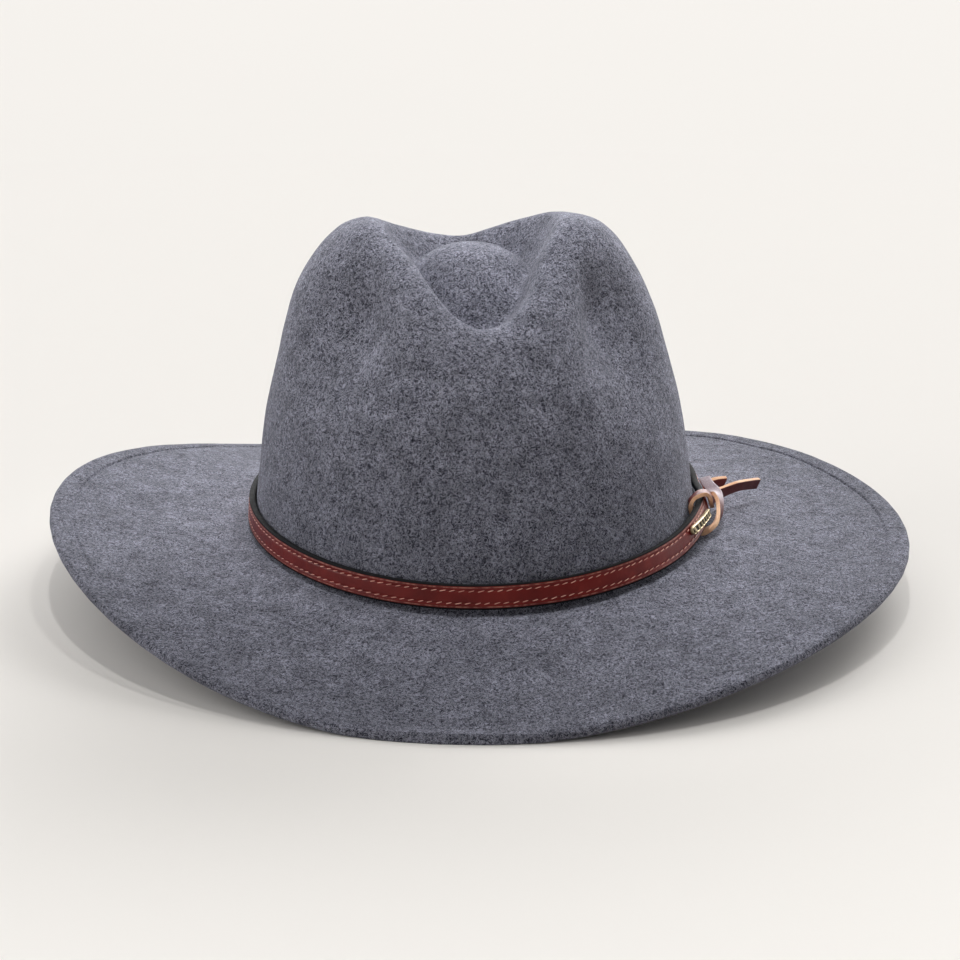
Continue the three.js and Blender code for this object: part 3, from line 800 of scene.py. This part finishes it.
def stitch(centre, along, across, out, length, sides=8, rings=6):
    """Vertices and faces of one rounded stitch."""
    vertices, faces = [], []
    for ring in range(rings + 1):
        t = -1 + 2 * ring / rings
        radius = STITCH_RADIUS * max(1 - abs(t) ** STITCH_ROUNDING, 0.0) ** 0.5
        hump = STITCH_HUMP * (1 - t * t)
        for side in range(sides):
            a = 2 * math.pi * side / sides
            lift = radius * STITCH_FLATNESS * math.sin(a) + hump
            side_way = across * (radius * math.cos(a))
            vertices.append(centre + along * (t * length / 2) + side_way + out * lift)
    for i in range(0, rings * sides, sides):
        j = i + sides
        for a in range(sides):
            b = (a + 1) % sides
            faces.append((i + a, i + b, j + b, j + a))
    return vertices, faces


def stitches(thread):
    """Two rows of stitches, with a half step between them and slight differences."""
    tall, half = BAND_WIDTH / 2, BAND_THICKNESS / 2
    rng = np.random.default_rng(7)
    fine = np.linspace(0, 360, 4 * 360 + 1)
    path = band_frame(fine)[0]
    length = np.concatenate([[0], np.cumsum(np.linalg.norm(np.diff(path, axis=0), axis=1))])
    count = int(round(length[-1] / STITCH_PITCH))
    vertices, faces = [], []
    for row, sign in enumerate((1, -1)):
        for k in range(count):
            at = (k + 0.5 * row + rng.uniform(-0.05, 0.05)) / count * length[-1] % length[-1]
            centre, face, up = (v[0] for v in band_frame(np.interp(at, length, fine)))
            along = unit(np.cross(up, face))
            slant = math.radians(STITCH_SLANT + rng.uniform(-3, 3))
            line = along * math.cos(slant) + up * math.sin(slant)
            rise = sign * (tall - STITCH_INSET) + rng.uniform(-0.06, 0.06)
            middle = centre + face * (half - STITCH_SINK) + up * rise
            own_length = STITCH_LENGTH + rng.uniform(-0.25, 0.15)
            made, quads = stitch(middle, line, np.cross(face, line), face, own_length)
            start = len(vertices)
            vertices += made
            faces += [tuple(start + i for i in quad) for quad in quads]
    return new_object("band_stitches", vertices, faces, [thread])


# Lace
LACE_STEP = 0.45
# shares of half the thickness: the corners' radius and the finished face's crown
LACE_CORNER = 0.22
LACE_CORNER_SPREAD = 1.4
LACE_CROWN = 0.06
LACE_EDGE = 0.4
# the finished face is painted pale from the lace's start, a painted reflection of the pale
# surroundings, and the paleness fades out
PAINTED_SHEEN_LENGTH = 19.0
PAINTED_SHEEN_FADE = 6
# slow changes of width and thickness, and the leather's fine roughness
WOBBLE_SIZE = 3.0
WOBBLE = 0.05
LACE_ROUGHNESS = 0.012
# the lace's two materials, in the order of its slots
LACE_FINISHED, LACE_RAW = 0, 1


def degrees_along(length):
    return math.degrees(length / (HEAD_LENGTH / 2 + WALL))


def band_place(along, out, rise):
    centre, face, up = band_frame(KNOT_ANGLE + degrees_along(along))
    return (centre + face * out + up * rise)[0]


def band_direction(along, forward, outward, upward):
    _, face, up = band_frame(KNOT_ANGLE + degrees_along(along))
    return unit(np.cross(up, face) * forward + face * outward + up * upward)[0]


def layer_out(layer):
    """Distance from the band's middle: layer 1 lies on the band, and -1 behind it."""
    first = BAND_THICKNESS / 2 + CLEARANCE + LACE_THICKNESS / 2
    size = abs(layer)
    distance = size * first if size < 1 else first + (size - 1) * (LACE_THICKNESS + CLEARANCE)
    return math.copysign(distance, layer)


def lace_stations(route):
    """Places and face directions along a lace, at short steps."""
    knots = []
    for along, layer, rise, forward, outward, upward in route:
        along *= TAIL_LENGTH
        knots.append(np.concatenate([
            band_place(along, layer_out(layer), rise * BAND_WIDTH / 2),
            band_direction(along, forward, outward, upward),
        ]))
    stations = []
    for k in range(len(knots) - 1):
        at = [knots[min(max(k + j, 0), len(knots) - 1)] for j in (-1, 0, 1, 2)]
        pieces = max(round(float(np.linalg.norm(at[2][:3] - at[1][:3])) / LACE_STEP), 1)
        stations += [through(*at, piece / pieces) for piece in range(pieces)]
    stations.append(knots[-1])
    return np.array(stations)


def lace_section():
    """Thickness and width shares round a flat strip, and what each side is made of."""
    points, kinds = [], []
    wide_corner = LACE_CORNER * LACE_THICKNESS / LACE_WIDTH * LACE_CORNER_SPREAD
    inner, reach = 1 - LACE_CORNER, 1 - wide_corner

    def put(thick, wide, kind):
        points.append((thick, wide))
        kinds.append(kind)

    def corner(thick, wide, first, kind):
        for turn in (first, first + 30, first + 60):
            t = math.radians(turn)
            put(thick + LACE_CORNER * math.cos(t), wide + wide_corner * math.sin(t), kind)

    for wide in np.linspace(-reach, reach, 9)[1:-1]:
        put(1 + LACE_CROWN * (1 - wide ** 2), wide, LACE_FINISHED)
    corner(inner, reach, 0, LACE_FINISHED)
    for thick in (LACE_EDGE, 0, -LACE_EDGE):
        put(thick, 1, LACE_RAW)
    corner(-inner, reach, 90, LACE_RAW)
    for wide in np.linspace(reach, -reach, 7)[1:-1]:
        put(-1, wide, LACE_RAW)
    corner(-inner, -reach, 180, LACE_RAW)
    for thick in (-LACE_EDGE, 0, LACE_EDGE):
        put(thick, -1, LACE_RAW)
    corner(inner, -reach, 270, LACE_FINISHED)
    return np.array(points), kinds


def strip(name, stations, finished, raw, pale=0.0):
    """A flat strip, whose finished face is painted pale, a painted reflection, until about pale
    millimetres along.
    """
    points, kinds = lace_section()
    place, face = stations[:, :3], stations[:, 3:]
    run = np.concatenate([[0], np.cumsum(np.linalg.norm(np.diff(place, axis=0), axis=1))])
    # painted reflection: how pale the finished face is painted at each station
    painted_sheen = np.clip((pale - run) / PAINTED_SHEEN_FADE, 0, 1)
    painted_sheen = np.concatenate([np.repeat(painted_sheen, len(points)), painted_sheen[[0, -1]]])
    along = unit(np.gradient(place, axis=0))
    normal = unit(face - along * (face * along).sum(1, keepdims=True))
    across = unit(np.cross(along, normal))
    rng = np.random.default_rng(len(stations))
    wobble = np.array([noise.noise(Vector(p) / WOBBLE_SIZE) for p in place]) * WOBBLE
    rows = []
    for k in range(len(place)):
        thick = points[:, :1] * (LACE_THICKNESS / 2) * (1 + wobble[k])
        wide = points[:, 1:] * (LACE_WIDTH / 2) * (1 - wobble[k])
        rows.append(place[k] + normal[k] * thick + across[k] * wide)
    rows = np.array(rows)
    rows[1:-1] += rng.normal(0, LACE_ROUGHNESS, rows[1:-1].shape)
    vertices, faces = tube(rows)
    count = len(points)
    sides = [max(kinds[a], kinds[(a + 1) % count]) for a in range(count)]
    indices = sides * (len(place) - 1) + [LACE_RAW] * (2 * count)
    made = new_object(name, vertices, faces, [finished, raw], indices)
    made.data.attributes.new("painted_sheen", "FLOAT", "POINT").data.foreach_set("value", painted_sheen)
    return made


# Brass bar
BAR_STEPS = 260
BAR_ACROSS = 22
BAR_END_ROUNDING = 2.6
# the raised rim: its width, the slope inside it, and the rounding of its outer edge
RIM_WIDTH = 0.30
RIM_SLOPE = 0.20
RIM_EDGE = 0.35
RIM_EDGE_LOW = 0.35
END_EDGE = 0.4
END_EDGE_LOW = 0.4
# the field between the cross ribs
FIELD_DEPTH = 0.50
RIB_SHARPNESS = 1.5
BAR_LEAST = 0.3
SEAT_SHARE = 0.96
# where the field is deep enough, it has kept its dark patina
PATINA_FROM = 0.9
# the bar's two materials, in the order of its slots
BAR_BRASS, BAR_PATINA = 0, 1


def bar_ring(share, seat):
    """Out and high of the bar's section at a share of its length, and how deep each point lies."""
    from_end = min(share, 1 - share) * PIN_LENGTH
    half_end = PIN_WIDTH / 2
    half = half_end * math.sqrt(max(1 - max(1 - from_end / half_end, 0) ** BAR_END_ROUNDING, 0.0001))
    ring, depths = [], []
    for k in range(BAR_ACROSS + 1):
        v = -1 + 2 * k / BAR_ACROSS
        from_side = (1 - abs(v)) * half
        field = min(max((min(from_side, from_end) - RIM_WIDTH) / RIM_SLOPE, 0), 1)
        turn = (share * PIN_RIBS + v * RIB_SLANT) * 2 * math.pi
        deep = field * (1 - (0.5 - 0.5 * math.cos(turn)) ** RIB_SHARPNESS)
        edge = min(from_side / RIM_EDGE, 1)
        round_off = math.sqrt(max(1 - (1 - edge) ** 2, 0))
        top = PIN_THICKNESS * mix(RIM_EDGE_LOW, 1, round_off) - deep * FIELD_DEPTH
        top *= mix(END_EDGE_LOW, 1, min(from_end / END_EDGE, 1))
        ring.append((seat + max(top, BAR_LEAST), v * half))
        depths.append(deep)
    ring += [(seat, half * SEAT_SHARE), (seat, -half * SEAT_SHARE)]
    return ring, depths + [0, 0]


def bar_mesh(brass, patina):
    """A bar with a raised rim and plain cross ribs in the field between."""
    seat = BAND_THICKNESS / 2 + CLEARANCE
    middle = (PIN_ANGLE - KNOT_ANGLE) / degrees_along(1)
    rows, depths = [], []
    for step in range(BAR_STEPS + 1):
        share = step / BAR_STEPS
        along = middle + (share - 0.5) * PIN_LENGTH
        rise = PIN_SKEW * (1 - 2 * share)
        ring, deep = bar_ring(share, seat)
        depths += deep
        centre, face, up = (v[0] for v in band_frame(KNOT_ANGLE + degrees_along(along)))
        rows.append([centre + face * out + up * (rise + high) for out, high in ring])
    rows = np.array(rows)
    vertices, faces = tube(rows, turned=True)
    indices = [BAR_BRASS] * len(faces)
    for k in range(BAR_STEPS * rows.shape[1]):
        if depths[faces[k][0]] + depths[faces[k][2]] > PATINA_FROM:
            indices[k] = BAR_PATINA
    return new_object("brass_bar", vertices, faces, [brass, patina], indices)


# The pieces
felt = felt_mesh(felt_material())
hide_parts("felt_body")
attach(felt, "root")

strap = band_mesh(leather_material(), edge_material(), crease_material())
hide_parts("hatband")
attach(strap, "root")
seam = stitches(thread_material())
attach(seam, "root")

finished, raw = finished_lace_material(), raw_lace_material()
long_lace = strip("lace_long", lace_stations(LACE), finished, raw, pale=PAINTED_SHEEN_LENGTH)
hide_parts("tie_lace")
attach(long_lace, "root")
short_lace = strip("lace_short", lace_stations(SHORT_TAIL), finished, raw)
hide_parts("tie_short_tail")
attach(short_lace, "root")

bar = bar_mesh(brass_material(), patina_material())
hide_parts("brass_pin")
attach(bar, "root")

# The stage, in metres and degrees
FLOOR_SIZE = 30
FLOOR_DROP = 0.00005
CAMERA_AZIMUTH = -4.0
CAMERA_ELEVATION = 17.35
CAMERA_DISTANCE = 1.400
FOCAL_PIXELS = 3708.7
PHOTO_PIXELS = 960
SENSOR_WIDTH = 36
TARGET_RIGHT = 0.00024
TARGET_HEIGHT = 0.03819
# soft light from all round: degrees from the front towards +x, degrees above the table,
# how narrow it is and how strong
SOFT_LIGHTS = [
    (0, 42, 8, 0.40),
    (140, 12, 8, 3.4),
    (180, 12, 8, 6.0),
    (260, 12, 8, 2.6),
    (100, 12, 8, 0.6),
    (300, 42, 8, 0.75),
    (150, 30, 40, 8.9),
]
# small lamps aimed at the crown: place, strength
CROWN_LAMPS = [
    ((0, 0, 1.5), 110),
    ((0.3, 0.3, 1.4), 40),
]
CROWN_AIM = (0, -0.01, 0.125)
CROWN_LAMP_SIZE = 0.12
CROWN_LAMP_SPREAD = 10
CROWN_LAMP_BLEND = 0.9

scene = bpy.context.scene
bpy.ops.mesh.primitive_plane_add(size=FLOOR_SIZE, location=(0, 0, -FLOOR_DROP))
floor = bpy.context.object
floor.name = "floor"
floor.data.materials.append(floor_material())


def direction(azimuth, elevation):
    """From the hat towards a place round it, from degrees round the front and above the table."""
    turn, rise = math.radians(azimuth), math.radians(elevation)
    return Vector((math.sin(turn) * math.cos(rise), -math.cos(turn) * math.cos(rise), math.sin(rise)))


def photo_camera():
    back = direction(CAMERA_AZIMUTH, CAMERA_ELEVATION)
    azimuth = math.radians(CAMERA_AZIMUTH)
    right = Vector((math.cos(azimuth), math.sin(azimuth), 0))
    up = back.cross(right)
    target = right * TARGET_RIGHT + Vector((0, 0, TARGET_HEIGHT))
    camera = bpy.data.objects.new("camera", bpy.data.cameras.new("camera"))
    scene.collection.objects.link(camera)
    turned = Matrix((right, up, back)).transposed().to_4x4()
    camera.matrix_world = Matrix.Translation(target + back * CAMERA_DISTANCE) @ turned
    camera.data.sensor_width = SENSOR_WIDTH
    camera.data.lens = FOCAL_PIXELS * SENSOR_WIDTH / PHOTO_PIXELS
    camera.data.clip_start = 0.05
    camera.data.clip_end = 50
    return camera


def studio_world():
    world = bpy.data.worlds.new("studio")
    world.use_nodes = True
    g = Graph(world.node_tree)
    place = g.add("ShaderNodeTexCoord").outputs["Generated"]
    total = None
    for azimuth, elevation, narrowness, strength in SOFT_LIGHTS:
        towards = g.add("ShaderNodeVectorMath", operation="DOT_PRODUCT")
        g.put(towards.inputs[0], place)
        g.put(towards.inputs[1], direction(azimuth, elevation))
        facing = g.math("MAXIMUM", towards.outputs["Value"], 0.0)
        light = g.math("MULTIPLY", g.math("POWER", facing, narrowness), strength)
        total = light if total is None else g.math("ADD", total, light)
    background = g.tree.nodes["Background"]
    g.put(background.inputs["Strength"], total)
    g.put(background.inputs["Color"], rgba(1.0, 1.0, 1.0))
    return world


def crown_lamp(place, power):
    data = bpy.data.lights.new("crown lamp", "SPOT")
    data.energy = power
    data.shadow_soft_size = CROWN_LAMP_SIZE
    data.spot_size = math.radians(CROWN_LAMP_SPREAD)
    data.spot_blend = CROWN_LAMP_BLEND
    lamp = bpy.data.objects.new("crown lamp", data)
    lamp.location = place
    aim = Vector(CROWN_AIM) - Vector(place)
    lamp.rotation_euler = aim.to_track_quat("-Z", "Y").to_euler()
    scene.collection.objects.link(lamp)


scene.camera = photo_camera()
scene.world = studio_world()
for place, power in CROWN_LAMPS:
    crown_lamp(place, power)

scene.view_settings.view_transform = "Standard"
scene.view_settings.look = "None"
